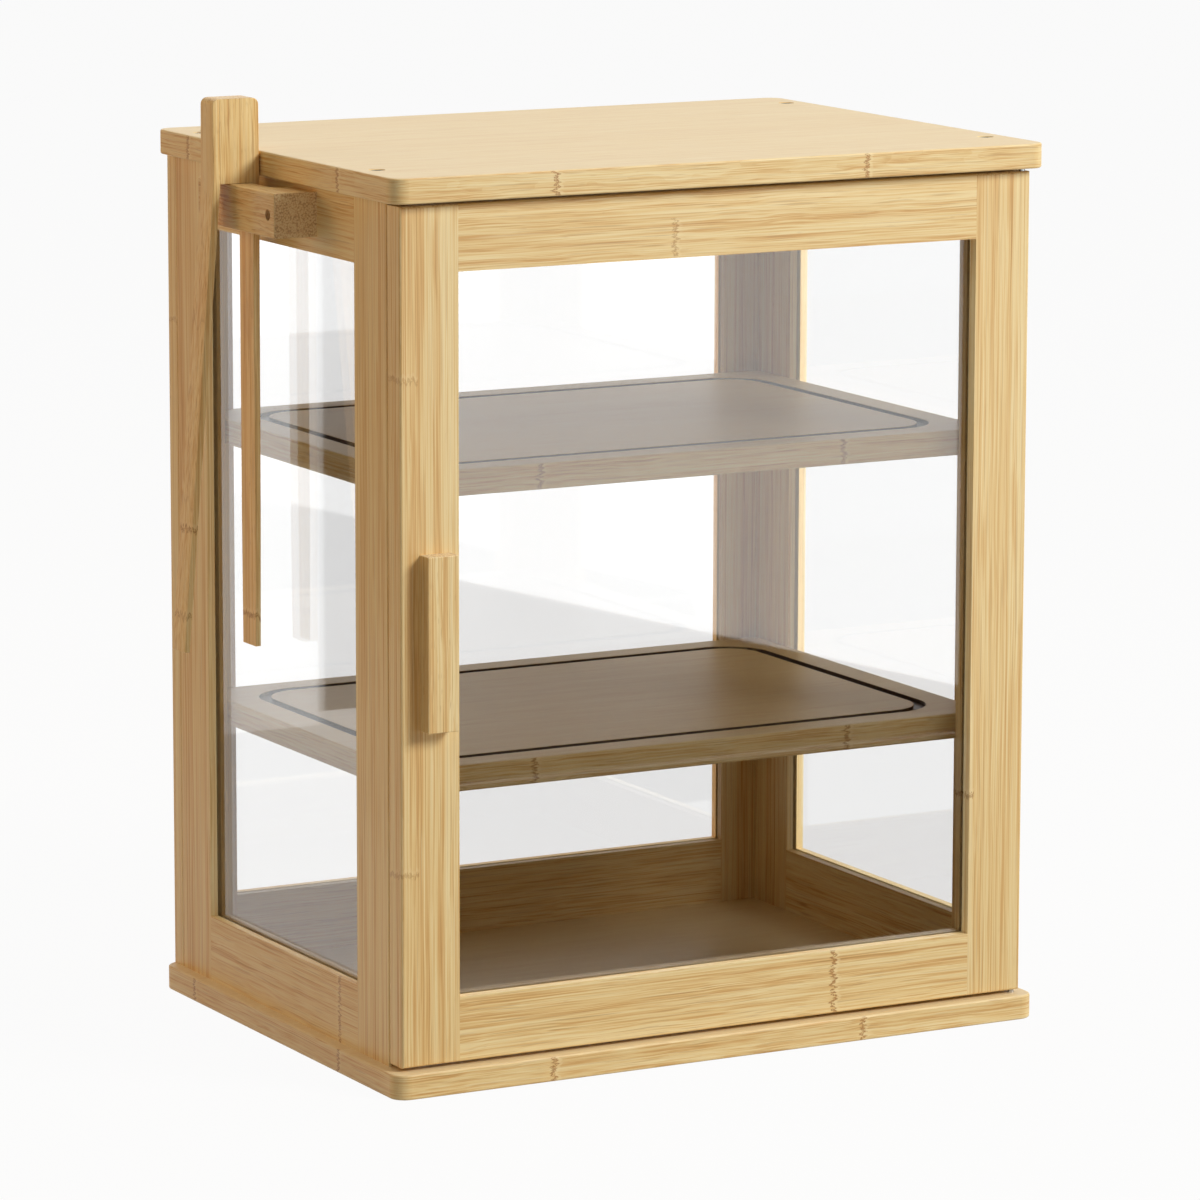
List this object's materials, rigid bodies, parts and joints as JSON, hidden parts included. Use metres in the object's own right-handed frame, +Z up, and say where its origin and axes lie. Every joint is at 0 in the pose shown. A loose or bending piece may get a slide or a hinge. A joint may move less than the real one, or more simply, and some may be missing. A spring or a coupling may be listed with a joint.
{
  "type": "bread box",
  "caption": "Tall bamboo bread box with clear windows, a hinged glazed door, lift-out shelves and wooden tongs hanging on a side rack.",
  "frame": {"origin": "centre of the base board's underside", "axes": "+X to the right as seen from the front, +Y to the back, +Z up; the door is on the -Y side and the tong rack on the -X side"},
  "size_m": [0.3917, 0.2625, 0.4552],
  "materials": {
    "frame_bamboo": "satin",
    "board_bamboo": "satin",
    "shelf_bamboo": "satin",
    "peg_bamboo": "satin",
    "tong_bamboo": "satin",
    "clear_acrylic": "clear gloss",
    "screw_steel": "satin",
    "pin_steel": "satin",
    "magnet_nickel": "polished"
  },
  "bodies": {
    "cabinet": {"back_bottom_rail": "frame_bamboo", "back_left_stile": "frame_bamboo", "back_pane": "clear_acrylic", "back_right_stile": "frame_bamboo", "back_top_rail": "frame_bamboo", "base_board": "board_bamboo", "base_board_screws": "screw_steel", "cabinet_magnets": "magnet_nickel", "left_back_stile": "frame_bamboo", "left_bottom_rail": "frame_bamboo", "left_front_stile": "frame_bamboo", "left_pane": "clear_acrylic", "left_top_rail": "frame_bamboo", "lower_hinge_pin": "pin_steel", "lower_shelf_pegs": "peg_bamboo", "right_back_stile": "frame_bamboo", "right_bottom_rail": "frame_bamboo", "right_front_stile": "frame_bamboo", "right_pane": "clear_acrylic", "right_top_rail": "frame_bamboo", "tong_rack": "frame_bamboo", "tong_rack_screws": "screw_steel", "top_board": "board_bamboo", "top_board_screws": "screw_steel", "upper_hinge_pin": "pin_steel", "upper_shelf_pegs": "peg_bamboo"},
    "door": {"door_bottom_rail": "frame_bamboo", "door_handle": "frame_bamboo", "door_handle_screws": "screw_steel", "door_hinge_stile": "frame_bamboo", "door_latch_stile": "frame_bamboo", "door_magnets": "magnet_nickel", "door_pane": "clear_acrylic", "door_top_rail": "frame_bamboo"},
    "upper_shelf": {"upper_shelf": "shelf_bamboo"},
    "lower_shelf": {"lower_shelf": "shelf_bamboo"},
    "tongs": {"tong_inner_leg": "tong_bamboo", "tong_spacer": "tong_bamboo"},
    "tong_leg": {"tong_outer_leg": "tong_bamboo"}
  },
  "joints": [
    {"name": "door_hinge", "type": "hinge", "parent": "cabinet", "child": "door", "pos_m": [0.1662, -0.121, 0.215], "axis": [0, 0, 1], "range_deg": [0, 180]},
    {"name": "upper_shelf_lift", "type": "slide", "parent": "cabinet", "child": "upper_shelf", "axis": [0, 0, 1], "range_m": [0, 0.02]},
    {"name": "lower_shelf_lift", "type": "slide", "parent": "cabinet", "child": "lower_shelf", "axis": [0, 0, 1], "range_m": [0, 0.02]},
    {"name": "tongs_lift", "type": "slide", "parent": "cabinet", "child": "tongs", "axis": [0, 0, 1], "range_m": [0, 0.23]},
    {"name": "tong_squeeze", "type": "hinge", "parent": "tongs", "child": "tong_leg", "pos_m": [-0.196, 0.017, 0.4152], "axis": [0, -1, 0], "range_deg": [0, 8], "stiffness_Nm_per_rad": 6.6}
  ]
}
